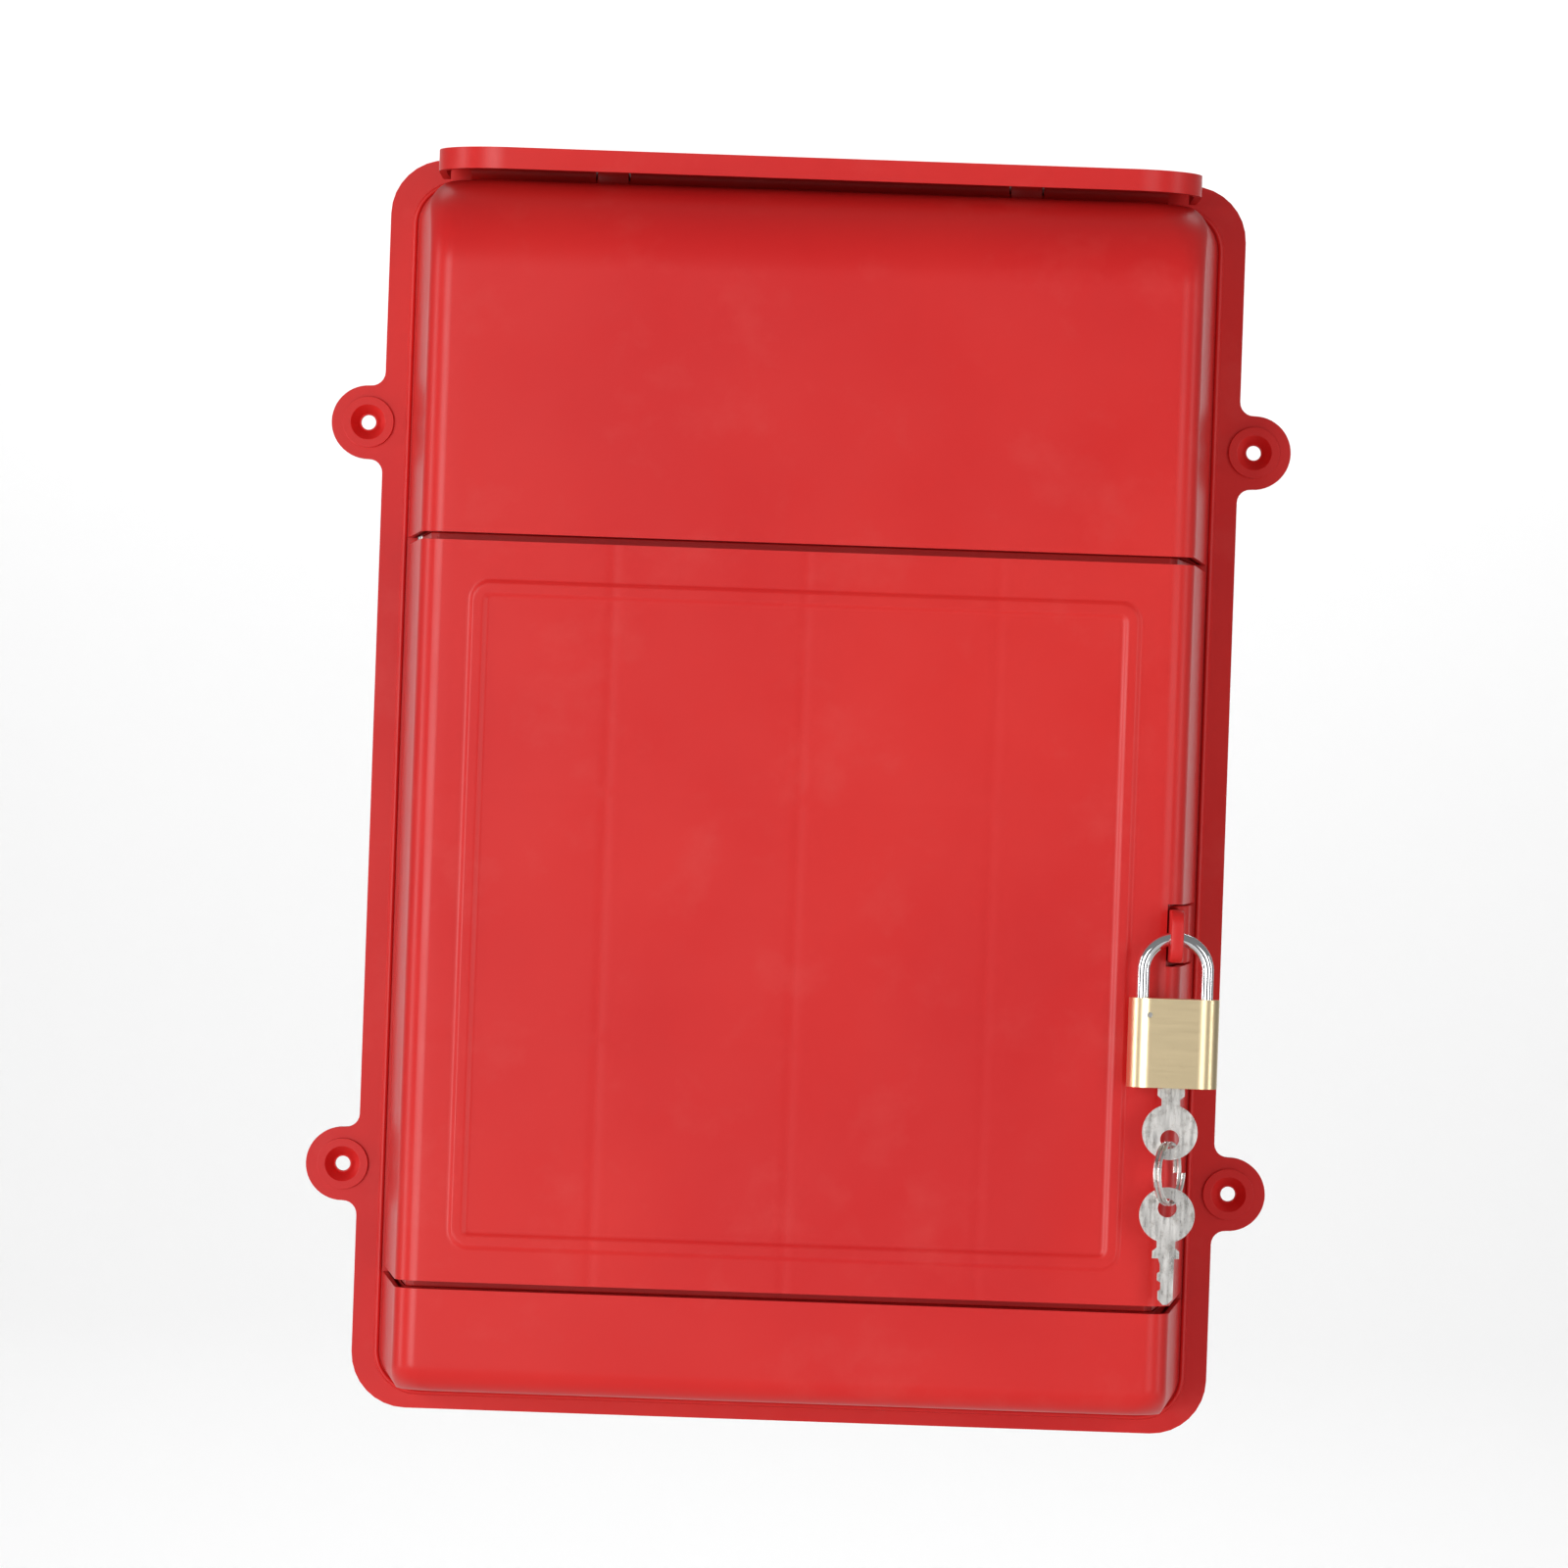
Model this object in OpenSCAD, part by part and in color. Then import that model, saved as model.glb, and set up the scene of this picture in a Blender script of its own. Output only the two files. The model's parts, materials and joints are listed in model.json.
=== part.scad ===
// Wall box with a hinged front door, a top flap and a hasp padlock.
// The wall is the plane y = 0 and the box stands out of it towards -Y.
// The origin is the middle of the four wall screws, on the wall.

/* [Back panel] */
// Width of the back panel, without its ears
panel_w = 249; // [220:1:300]
// Height of the back panel
panel_h = 363.4; // [320:0.2:440]
// Thickness of the back panel
panel_t = 4; // [3:0.5:5]
// Radius of the panel's corners
panel_r = 16; // [10:1:20]
// How far the panel's middle lies above the middle of the wall screws
panel_rise = 3.3; // [0:0.1:8]

/* [Wall screws] */
// Distance of the ear holes outside the panel's edge
ear_out = 4.5; // [2:0.5:8]
// Height between the upper and the lower ear holes
ear_pitch_z = 216; // [160:1:240]
// Radius of an ear
ear_r = 10.7; // [9:0.1:13]
// Radius of the fillet between an ear and the panel
ear_fillet_r = 4; // [2:0.5:5]
// Radius of the wall screw hole
wall_hole_r = 2.15; // [1.5:0.05:3]
// Mouth radius of the dished recess round a wall screw hole
dish_r = 5.1; // [4:0.1:6.5]
// Radius of the raised pad round the recess
pad_r = 7.4; // [7:0.1:8.5]
// Height of the raised pad
pad_h = 1.2; // [0.5:0.1:2]

/* [Body] */
// Depth of the body in front of the wall
body_d = 78; // [62:1:96]
// Wall thickness of the body
wall = 2.4; // [2:0.1:3]
// How much the back panel shows outside the body at each side
panel_margin_side = 8.3; // [5:0.1:14]
// How much the back panel shows above the body
panel_margin_top = 8; // [5:0.1:14]
// How much the back panel shows below the body
panel_margin_bottom = 5.8; // [4:0.1:12]
// Taper of each side of the body over its depth
side_taper = 7.2; // [3:0.1:10]
// Taper of the underside of the body over its depth
under_taper = 5; // [2:0.1:8]
// Radius of the front vertical edges
edge_r = 7; // [5:0.5:9]
// Radius of the outline's corners at the foot
outline_r = 11; // [8:0.5:14]
// Radius of the curved shoulder at the top of the hood
shoulder_r = 27; // [18:1:32]
// Radius of the front lower edge
base_edge_r = 8; // [5:0.5:10]
// Height of the hood's front, from the door gap to the top of the body
hood_h = 102.2; // [80:0.2:125]
// Height of the base's front, from the door gap to the underside
base_h = 33.7; // [28:0.1:45]

/* [Door] */
// Gap between the door and the hood or the base
door_gap = 2.2; // [1.5:0.1:3]
// Wall thickness of the door
door_t = 2.4; // [2:0.1:3]
// Gap between the door's side walls and the inner frame
frame_gap = 0.8; // [0.6:0.1:1.5]
// Further inset of the inner frame's right side at its front, which lets the door swing
frame_swing_room = 1.8; // [1.5:0.1:4]
// Distance from the door's inner face to the inner frame
frame_setback = 7.1; // [6:0.1:12]
// Width of the rim of the inner frame round the opening
frame_rim = 14; // [10:1:20]
// Depth of the stiffening ribs behind the door
rib_d = 5; // [3:0.5:5.5]
// Thickness of a rib
rib_t = 1.6; // [1.2:0.1:2.4]
// Columns between the upright ribs
rib_columns = 4; // [2:1:6]
// Rows between the level ribs
rib_rows = 3; // [2:1:5]
// Height of the raised bead frame
bead_h = 0.5; // [0.3:0.1:0.8]
// Width of the raised bead frame
bead_w = 4.8; // [3:0.1:7]
// Margin of the bead frame from the door's front side edges
bead_margin_side = 14.2; // [12:0.1:20]
// Margin of the bead frame from the door's upper edge
bead_margin_top = 10.9; // [8:0.1:16]
// Margin of the bead frame from the door's lower edge
bead_margin_bottom = 9.3; // [8:0.1:16]
// Radius of the bead frame's outer corners
bead_r = 6; // [5.2:0.1:8]
// Radius of the rolled hinge edge of the door
barrel_r = 3.6; // [3:0.1:4.5]
// Distance of the hinge axis in front of the wall
hinge_y = 15; // [13:0.5:18]
// Radius of a door hinge pin
pin_r = 1.5; // [1.2:0.1:1.8]
// Running clearance round a hinge pin
pin_clear = 0.1; // [0.05:0.01:0.1]
// Depth of a hinge pin in the door and in the body
pin_depth = 12; // [8:1:16]

/* [Hasp] */
// Thickness of the hasp staple
staple_t = 3.6; // [3:0.1:4.4]
// Height of the hasp staple
staple_h = 14.8; // [12:0.1:18]
// Clearance above and below the staple in the door's slot
slot_clear_z = 1.4; // [1:0.1:2]
// Distance from the door's front side edge to the slot
slot_in = 4; // [3.6:0.1:6]
// Gap between the slot's inner edge and the staple
slot_clear_x = 0.5; // [0.4:0.1:1.5]
// Gap above and below the filler block in the slot
filler_clear = 0.6; // [0.4:0.1:1]
// Depth of the open part of the slot, from the door's front
slot_open_d = 28; // [20:1:34]
// Radius of the staple's hole
staple_hole_r = 3; // [2.6:0.1:3.4]
// Material round the staple's hole
staple_web = 3; // [2.5:0.1:4]

/* [Lid] */
// Height of the lid's rim
lid_h = 6.1; // [5:0.1:8]
// Thickness of the lid's plate and rim
lid_t = 2.2; // [1.8:0.1:2.6]
// Gap between the lid's rim and the top of the body
lid_gap = 1.7; // [1:0.1:3]
// How far the lid's front lies behind the front of the body
lid_setback = 14; // [8:0.5:20]
// How much narrower the lid is than the body at its foot
lid_inset = 7; // [4:0.5:10]
// Plan radius of the lid's front corners
lid_corner_r = 20; // [12:1:26]
// Distance of the lid's hinge axis in front of the wall
lid_axis_y = 10.5; // [10:0.5:14]
// Radius of the lid's hinge barrel
lid_barrel_r = 2.9; // [2.6:0.1:3.2]
// Radius of the lid's hinge pin
lid_pin_r = 1.25; // [1:0.05:1.5]
// Width of the two hinge lugs on the body
lug_w = 9; // [6:0.5:14]
// Distance of each hinge lug from the middle
lug_x = 60; // [40:1:80]
// Width of the letter slot in the top of the body
letter_w = 188; // [150:1:190]
// Depth of the letter slot in the top of the body
letter_d = 26; // [18:1:27]

/* [Body screws] */
// Radius of a body screw's shank
screw_r = 1.45; // [1.2:0.05:1.6]
// Length of a body screw's shank
screw_l = 14; // [10:1:18]
// Radius of a body screw's head
screw_head_r = 3; // [2.6:0.1:3.4]
// Height of a body screw's head
screw_head_h = 1.7; // [1.4:0.1:2]
// Radius of a screw boss
boss_r = 4; // [3.6:0.1:4.5]
// Length of a screw boss
boss_l = 20; // [17:1:26]

/* [Padlock] */
// Width of the padlock's case
case_w = 25.5; // [24:0.5:29]
// Height of the padlock's case
case_h = 25; // [24.6:0.2:28]
// Thickness of the padlock's case
case_t = 12; // [11:0.5:14]
// Radius of the shackle's wire
shackle_r = 1.8; // [1.5:0.05:2]
// Distance between the shackle's legs
shackle_pitch = 18; // [17:0.5:19]
// Clear height of the shackle's straight legs above the case
shackle_straight = 7.8; // [5:0.1:14]
// Distance from the door's front to the middle of the padlock
padlock_out = 8.5; // [8:0.1:12]
// Depth of the toe leg in the case
toe_depth = 5.4; // [5.2:0.1:5.6]
// Depth of the heel leg in the case
heel_depth = 12.5; // [12:0.1:13]
// How far the shackle pops when the lock opens
pop = 5.5; // [5.4:0.1:6]
// Radius of the lock's plug
plug_r = 3.95; // [3.9:0.05:4]
// Length of the lock's plug
plug_l = 14; // [13.9:0.1:14.2]
// Distance from the plug's axis to its cam pin
cam_e = 1.8; // [1.6:0.1:1.9]
// Radius of the cam pin
cam_r = 0.7; // [0.6:0.05:0.8]
// How far the locking bolt reaches into the shackle's notch
bolt_bite = 0.6; // [0.4:0.1:0.7]
// Clearance between moving pieces inside the lock
lock_clear = 0.1; // [0.05:0.01:0.15]

/* [Keys] */
// Radius of a key's bow
bow_r = 7.8; // [7:0.1:9]
// Radius of the hole in a key's bow
bow_hole_r = 2.65; // [2.5:0.05:3]
// Distance from the middle of the bow to its hole
bow_hole_off = 2; // [1:0.1:3]
// Distance from the middle of the bow to the key's shoulder
shoulder_off = 12.2; // [11:0.1:14]
// Width of a key's shoulder
shoulder_w = 7.6; // [6:0.1:9]
// Length of a key's blade
blade_l = 13; // [12:0.1:13.1]
// Width of a key's blade
blade_w = 4.8; // [4.4:0.1:5]
// Thickness of a key
key_t = 1.6; // [1.2:0.1:1.8]
// Radius of the key ring, to the middle of its wire
ring_r = 8.5; // [7.5:0.1:10]
// Radius of the key ring's wire
ring_wire_r = 0.6; // [0.5:0.05:0.65]
// Turn of the key ring about the upright, in degrees
ring_turn = 24; // [15:1:30]

/* [Hidden] */
$fn = 48;
red = "#d93838";
steel = "#c8c8c8";
brass = "#d9b36a";
nickel = "#a8a196";

// Places of the panel and the body
panel_half = panel_w / 2;
panel_top = panel_rise + panel_h / 2;
panel_bottom = panel_rise - panel_h / 2;
ear_x = panel_half + ear_out;
ear_z = ear_pitch_z / 2;
foot_half = panel_half - panel_margin_side;
body_top = panel_top - panel_margin_top;
body_bottom = panel_bottom + panel_margin_bottom;
foot_y = -panel_t;
front_y = -body_d;
front_half = foot_half - side_taper;
slope = side_taper / (body_d - panel_t);
eps = 0.01;
big = 2000;

// Half width of the body's outside at a depth y
function half_at(y) = front_half + (y - front_y) * slope;
// Points of an arc about c
function arc(c, r, a0, a1, n) =
    [for (i = [0 : n]) c + r * [cos(a0 + (a1 - a0) * i / n), sin(a0 + (a1 - a0) * i / n)]];
function flip(pts) = [for (i = [len(pts) - 1 : -1 : 0]) [-pts[i].x, pts[i].y]];

// Right half of a tapered plan: from the rear y0, round the front corner, to the middle
function half_plan(inset, y0, r) =
    let (q = sqrt(1 + slope * slope), fy = front_y + inset,
         c = [half_at(fy) - inset * q + r * slope - r * q, fy + r], a = atan(slope))
    concat([[half_at(y0) - inset * q, y0]], arc(c, r, -a, -90, 8));
function plan(inset, y_right, y_left, r) =
    concat(half_plan(inset, y_right, r), flip(half_plan(inset, y_left, r)));

// Side profile of the body in (y, z)
function profile(inset, ry) =
    let (sr = shoulder_r - inset, br = base_edge_r - inset, top = body_top - inset,
         fy = front_y + inset, ud = atan(under_taper / (body_d - panel_t)),
         zb = body_bottom + under_taper + inset)
    concat([[ry, body_bottom + inset], [ry, top]], arc([fy + sr, top - sr], sr, 90, 180, 14),
        arc([fy + br, zb + br - br * sin(ud)], br, 180, 270 - ud, 6));

// Places of the door
door_top = body_top - hood_h - door_gap;
hood_z = body_top - hood_h;
base_z = body_bottom + base_h;
door_bottom = base_z + door_gap;
door_mid = (door_top + door_bottom) / 2;
door_h = door_top - door_bottom;
door_rear_y = -panel_t - 3;
hinge_x = -(half_at(-hinge_y) - barrel_r - 0.1);
frame_inset = door_t + frame_gap;
frame_front_y = front_y + door_t + frame_setback;
frame_front_right = half_at(frame_front_y) - frame_inset - frame_swing_room;
hinge_bay_x = hinge_x + barrel_r + 0.8;
hinge_bay_y = -hinge_y - barrel_r - 1.4;

// Places of the hasp
staple_x = front_half - slot_in + slot_clear_x + staple_t / 2;
slot_x = front_half - slot_in;
slot_h = staple_h + 2 * slot_clear_z;
padlock_y = front_y - padlock_out;
staple_hole_z = door_mid + 0.25;

// Places of the padlock: the shackle's wire rests on the bottom of the staple's hole
arch_r = shackle_pitch / 2;
arch_sag = arch_r - sqrt(arch_r * arch_r - staple_t * staple_t / 4);
wire_z = staple_hole_z - staple_hole_r + shackle_r + arch_sag + 0.05;
arch_z = wire_z - arch_r;
case_top = arch_z - shackle_straight;
case_bottom = case_top - case_h;
heel_x = staple_x - shackle_pitch / 2;
toe_x = staple_x + shackle_pitch / 2;
leg_bore_r = shackle_r + lock_clear;
plug_top = case_bottom + plug_l;
plug_bore_r = plug_r + 0.05;
notch_top = case_top - 0.8;
finger_h = 1.4;
finger_top = notch_top - 0.15;
bolt_travel = cam_e;
notch_bottom = finger_top - finger_h - pop * bolt_bite / bolt_travel - 0.3;
notch_depth = bolt_bite + 0.15;
cam_top = plug_top + 2.6;
cam_slot = cam_r + 0.45;
bolt_y = 2.6;
bolt_left = staple_x - 2.4;
bay_left = bolt_left - 3.4;
heel_end = case_top - heel_depth;
groove_r = shackle_r - 0.6;
groove_top = case_top - 3.6;
groove_bottom = heel_end + 1.1;
retainer_r = 0.75;
retainer_x = heel_x + groove_r + 0.1 + retainer_r;
retainer_z = groove_top - retainer_r - 0.3;
spring_bay = 8;
stack_pitch = 2.5;
stack_first = case_bottom + 2.4;
stack_r = 0.9;
cuts = [0.9, 0.2, 1.2, 0.5];
driver_l = 2;
chamber_end = case_w / 2 - 2.4;
plug_pin_r = 0.6;
plug_pin_z = plug_top - 1.6;

// Places of the keys
keyway_t = key_t + 0.2;
shoulder_z = case_bottom - 0.3;
bow_z = shoulder_z - shoulder_off;
ring_lift = bow_hole_r - sqrt(pow(bow_hole_r, 2) - 2.6) + ring_wire_r + 0.35;
ring_top = bow_z - bow_hole_off - bow_hole_r + ring_lift;
ring_z = ring_top - ring_r;
spare_hole_z = ring_z - ring_r + ring_lift - bow_hole_r;
spare_bow_z = spare_hole_z - bow_hole_off;

// Places of the lid
lid_bottom = body_top + lid_gap;
lid_top = lid_bottom + lid_h;
lid_half = foot_half - lid_inset;
lid_front = front_y + lid_setback;
lid_axis_z = lid_top - lid_barrel_r - 0.4;
lid_rear = -lid_axis_y + 4;

// Screws that hold the body on the back panel, as [x, z]
boss_x = half_at(foot_y - boss_l) - wall - boss_r + 1;
boss_top_z = body_top - wall - boss_r + 0.8;
boss_low_z = body_bottom + wall + boss_r - 0.8;
boss_places = concat(
    [for (s = [-1, 1], z = [hood_z + hood_h / 2, base_z - base_h / 2]) [s * boss_x, z]],
    [[0, boss_low_z], [0, boss_top_z]]);

// Extrusions: along X from a (y, z) outline, along Y from an (x, z) outline
module along_x(w) rotate([90, 0, 90]) linear_extrude(w, center = true) children();
module along_y(y0, y1) translate([0, y1, 0]) rotate([90, 0, 0]) linear_extrude(y1 - y0) children();
module rod_x(x0, x1, r) translate([x0, 0, 0]) rotate([0, 90, 0]) cylinder(h = x1 - x0, r = r);
module rod_y(y0, y1, r) translate([0, y1, 0]) rotate([90, 0, 0]) cylinder(h = y1 - y0, r = r);
module block(lo, hi) translate(lo) cube(hi - lo);
module round_rect(x0, z0, x1, z1, r) polygon(concat(
    arc([x1 - r, z1 - r], r, 0, 90, 8), arc([x0 + r, z1 - r], r, 90, 180, 8),
    arc([x0 + r, z0 + r], r, 180, 270, 8), arc([x1 - r, z0 + r], r, 270, 360, 8)));

// The body's outside, or its inside when inset
module body_form(inset, ry) intersection() {
    translate([0, 0, body_bottom - 1]) linear_extrude(body_top - body_bottom + 2)
        polygon(plan(inset, ry, ry, edge_r - inset));
    along_x(panel_w) polygon(profile(inset, ry));
    along_y(front_y - 1, ry) round_rect(-foot_half + inset, body_bottom + inset,
        foot_half - inset, body_top - inset, outline_r - inset);
}

// Plan of the inner frame that the door closes over
function frame_plan(inset) =
    let (f = frame_inset + inset, fy = frame_front_y + inset, lx = -half_at(fy) + f,
         rear_right = half_at(foot_y) - f)
    [[rear_right, foot_y], [frame_front_right - inset, fy + 2], [frame_front_right - inset - 2, fy],
     [lx + 2, fy], [lx, fy + 2], [-half_at(hinge_bay_y) + f, hinge_bay_y - inset],
     [hinge_bay_x + inset, hinge_bay_y - inset], [hinge_bay_x + inset, foot_y]];

// Outline of the panel with its four ears
module panel_outline() {
    round_rect(-panel_half, panel_bottom, panel_half, panel_top, panel_r);
    for (sx = [-1, 1], sz = [-1, 1]) scale([sx, 1]) translate([ear_x, sz * ear_z]) ear_outline();
}

module ear_outline() {
    reach = ear_r + ear_fillet_r;
    dx = ear_out - ear_fillet_r;
    dz = sqrt(reach * reach - dx * dx);
    t = atan2(dz, dx);
    polygon(concat([[-ear_out - 1, dz]], arc([-dx, dz], ear_fillet_r, 180, 360 - t, 6),
        arc([0, 0], ear_r, 172 - t, t - 172, 24), arc([-dx, -dz], ear_fillet_r, t, 180, 6),
        [[-ear_out - 1, -dz]]));
}

module back_panel() color(red) difference() {
    union() {
        along_y(-panel_t, 0) panel_outline();
        for (sx = [-1, 1], sz = [-1, 1]) translate([sx * ear_x, 0, sz * ear_z])
            rod_y(-panel_t - pad_h, -panel_t, pad_r);
    }
    for (sx = [-1, 1], sz = [-1, 1]) translate([sx * ear_x, 0, sz * ear_z]) {
        rod_y(-panel_t - 1, 1, wall_hole_r);
        translate([0, -panel_t - pad_h - eps, 0]) rotate([-90, 0, 0])
            cylinder(h = pad_h + 1.8, r1 = dish_r, r2 = dish_r / 2);
    }
    for (p = boss_places) translate([p.x, 0, p.y]) {
        rod_y(-panel_t - 1, 1, screw_r + 0.2);
        rod_y(-screw_head_h - 0.3, 1, screw_head_r + 0.3);
    }
}

// Hasp staple: a block that fills the rear of the door's slot, and the pierced tab
module staple() {
    open_y = front_y + slot_open_d;
    half_block = slot_h / 2 - filler_clear;
    translate([0, 0, door_mid - half_block]) linear_extrude(2 * half_block) polygon([
        [half_at(door_rear_y), door_rear_y], [half_at(open_y), open_y],
        [staple_x - staple_t / 2, open_y], [staple_x - staple_t / 2, door_rear_y]]);
    tip_y = padlock_y - staple_hole_r - staple_web;
    translate([staple_x, 0, 0]) along_x(staple_t)
        round_rect(tip_y, door_mid - staple_h / 2, open_y + 6, door_mid + staple_h / 2, 4);
}

module front_shell() color(red) {
    difference() {
        union() {
            difference() {
                body_form(0, foot_y);
                door_room();
            }
            translate([0, 0, base_z - eps]) linear_extrude(hood_z - base_z + 2 * eps)
                polygon(frame_plan(0));
            staple();
        }
        shell_cavity();
        translate([hinge_x, 0, 0]) door_pin_bores();
        translate([staple_x, padlock_y, staple_hole_z]) rod_x(-big, big, staple_hole_r);
    }
    difference() {
        shell_bosses();
        translate([hinge_x, 0, 0]) door_pin_bores();
    }
    lid_lugs();
}

// Space that the door takes out of the body
module door_room() block([-big, -big, base_z], [big, foot_y + 1, hood_z]);

module shell_cavity() {
    frame = frame_plan(wall);
    difference() {
        body_form(wall, foot_y + eps);
        block([-big, -big, base_z - wall], [big, big, hood_z + wall]);
    }
    translate([0, 0, base_z - wall - eps]) linear_extrude(hood_z - base_z + 2 * (wall + eps))
        polygon(concat([[frame[0].x, foot_y + 1]], frame, [[frame[7].x, foot_y + 1]]));
    block([-front_half + frame_rim, -big, base_z + frame_rim],
        [frame_front_right - frame_rim, frame_front_y + wall + 1, hood_z - frame_rim]);
    block([-letter_w / 2, front_y + shoulder_r + 1, body_top - wall - 1],
        [letter_w / 2, front_y + shoulder_r + 1 + letter_d, body_top + 1]);
}

module door_pin_bores() translate([0, -hinge_y, 0]) {
    translate([0, 0, hood_z - eps]) cylinder(h = pin_depth, r = pin_r);
    translate([0, 0, base_z - pin_depth + eps]) cylinder(h = pin_depth, r = pin_r);
}

module shell_bosses() {
    difference() {
        intersection() {
            body_form(0.5, foot_y);
            for (p = boss_places) translate([p.x, 0, p.y]) rod_y(foot_y - boss_l, foot_y, boss_r);
        }
        for (p = boss_places) translate([p.x, 0, p.y])
            rod_y(foot_y - screw_l - 1, foot_y + 1, screw_r + 0.05);
    }
    intersection() {
        body_form(0.5, foot_y);
        translate([hinge_x, -hinge_y, 0]) {
            translate([0, 0, hood_z]) cylinder(h = pin_depth + 2, r = barrel_r);
            translate([0, 0, base_z - pin_depth - 2]) cylinder(h = pin_depth + 2, r = barrel_r);
        }
    }
}

// Lugs on the top of the body that carry the lid's pin
module lid_lugs() for (s = [-1, 1]) translate([s * lug_x, 0, 0]) difference() {
    union() {
        translate([0, -lid_axis_y, lid_axis_z]) rod_x(-lug_w / 2, lug_w / 2, lid_barrel_r);
        block([-lug_w / 2, -lid_axis_y - lid_barrel_r, body_top - eps],
            [lug_w / 2, -lid_axis_y + lid_barrel_r, lid_axis_z]);
    }
    translate([0, -lid_axis_y, lid_axis_z]) rod_x(-lug_w, lug_w, lid_pin_r + 0.05);
}

module door() color(red) difference() {
    union() {
        translate([0, 0, door_bottom]) linear_extrude(door_h) polygon(concat(
            plan(0, door_rear_y, -hinge_y, edge_r),
            [for (i = [len(door_inner()) - 1 : -1 : 0]) door_inner()[i]]));
        translate([hinge_x, -hinge_y, door_bottom]) cylinder(h = door_h, r = barrel_r);
        intersection() {
            translate([0, 0, door_bottom]) linear_extrude(door_h)
                polygon(plan(door_t - eps, -hinge_y, -hinge_y, edge_r - door_t + eps));
            door_ribs();
        }
        bead_frame();
    }
    translate([hinge_x, -hinge_y, 0]) {
        translate([0, 0, door_top - pin_depth]) cylinder(h = pin_depth + 1, r = pin_r + pin_clear);
        translate([0, 0, door_bottom - 1]) cylinder(h = pin_depth + 1, r = pin_r + pin_clear);
    }
    block([slot_x, -big, door_mid - slot_h / 2], [big, big, door_mid + slot_h / 2]);
}

function door_inner() = plan(door_t, door_rear_y, -hinge_y, edge_r - door_t);

module door_ribs() {
    y0 = front_y + door_t - eps;
    for (i = [1 : rib_columns - 1]) translate([front_half * (2 * i / rib_columns - 1), 0, 0])
        block([-rib_t / 2, y0, door_bottom], [rib_t / 2, y0 + rib_d, door_top]);
    for (i = [0 : rib_rows])
        translate([0, 0, door_bottom + rib_t / 2 + (door_h - rib_t) * i / rib_rows])
            block([-front_half, y0, -rib_t / 2], [slot_x - 2, y0 + rib_d, rib_t / 2]);
}

module bead_frame() {
    x = front_half - bead_margin_side;
    z0 = door_bottom + bead_margin_bottom;
    z1 = door_top - bead_margin_top;
    along_y(front_y - bead_h, front_y + eps) difference() {
        round_rect(-x, z0, x, z1, bead_r);
        round_rect(-x + bead_w, z0 + bead_w, x - bead_w, z1 - bead_w, bead_r - bead_w + 0.8);
    }
}

// Lid: a plate with a rim at its front and sides, and a barrel broken by the lugs
module lid_plan(inset) {
    r = lid_corner_r - inset;
    x = lid_half - inset;
    y = lid_front + inset;
    polygon(concat([[x, lid_rear]], arc([x - r, y + r], r, 0, -90, 12),
        arc([-x + r, y + r], r, -90, -180, 12), [[-x, lid_rear]]));
}

module top_lid() color(red) difference() {
    union() {
        difference() {
            translate([0, 0, lid_bottom]) linear_extrude(lid_h) lid_plan(0);
            translate([0, eps, lid_bottom - 1]) linear_extrude(lid_h - lid_t + 1) lid_plan(lid_t);
            block([-big, -lid_axis_y - lid_barrel_r - 1, lid_bottom - 1], [big, 0, lid_top - lid_t]);
        }
        translate([0, -lid_axis_y, lid_axis_z])
            rod_x(-lid_half + 8, lid_half - 8, lid_barrel_r);
    }
    translate([0, -lid_axis_y, lid_axis_z]) rod_x(-lid_half, lid_half - 12, lid_pin_r + pin_clear);
    for (s = [-1, 1]) translate([s * lug_x, 0, 0])
        block([-lug_w / 2 - 0.5, -lid_axis_y - lid_barrel_r - 1.5, lid_bottom - 1],
            [lug_w / 2 + 0.5, 0, lid_top + 1]);
}

module lid_hinge_pin() color(steel) translate([0, -lid_axis_y, lid_axis_z])
    rod_x(-lid_half + 9, lid_half - 12.5, lid_pin_r);

module door_pin(z0) color(steel) translate([hinge_x, -hinge_y, z0])
    cylinder(h = 2 * pin_depth + door_gap - 1, r = pin_r);

module body_screws() color(steel) for (p = boss_places) translate([p.x, 0, p.y]) difference() {
    union() {
        rod_y(-screw_head_h - 0.3, -0.3, screw_head_r);
        rod_y(-screw_head_h - 0.3 - screw_l, -screw_head_h - 0.3, screw_r);
    }
    for (a = [0, 90]) rotate([0, a, 0]) block([-1.8, -1.2, -0.35], [1.8, 1, 0.35]);
}

// Places relative to the padlock's middle line
module at_lock() translate([staple_x, padlock_y, 0]) children();

module case_section(w, t) {
    square([w - t, t], center = true);
    for (s = [-1, 1]) translate([s * (w - t) / 2, 0]) circle(t / 2);
}

module padlock_case() color(brass) at_lock() difference() {
    translate([0, 0, case_bottom]) linear_extrude(case_h) case_section(case_w, case_t);
    translate([heel_x - staple_x, 0, heel_end - spring_bay])
        cylinder(h = big, r = leg_bore_r);
    translate([toe_x - staple_x, 0, case_top - toe_depth - 0.5]) cylinder(h = big, r = leg_bore_r);
    translate([0, 0, case_bottom - 1]) cylinder(h = plug_l + 1.05, r = plug_bore_r);
    block([bay_left - staple_x, -bolt_y - 0.3, finger_top - finger_h - 1.6],
        [toe_x - staple_x, bolt_y + 0.3, finger_top + 0.15]);
    block([bolt_left - staple_x - bolt_travel - 0.3, -bolt_y - 0.3, plug_top],
        [cam_e + cam_slot + 1.6, bolt_y + 0.3, finger_top]);
    translate([retainer_x - staple_x, 0, retainer_z]) rod_y(-case_t, case_t, retainer_r + 0.03);
    for (i = [0 : 3]) translate([0, 0, stack_first + i * stack_pitch]) rod_x(0, case_w, stack_r + 0.05);
    translate([0, 0, plug_pin_z]) rod_y(0, case_t, plug_pin_r + 0.03);
}

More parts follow.
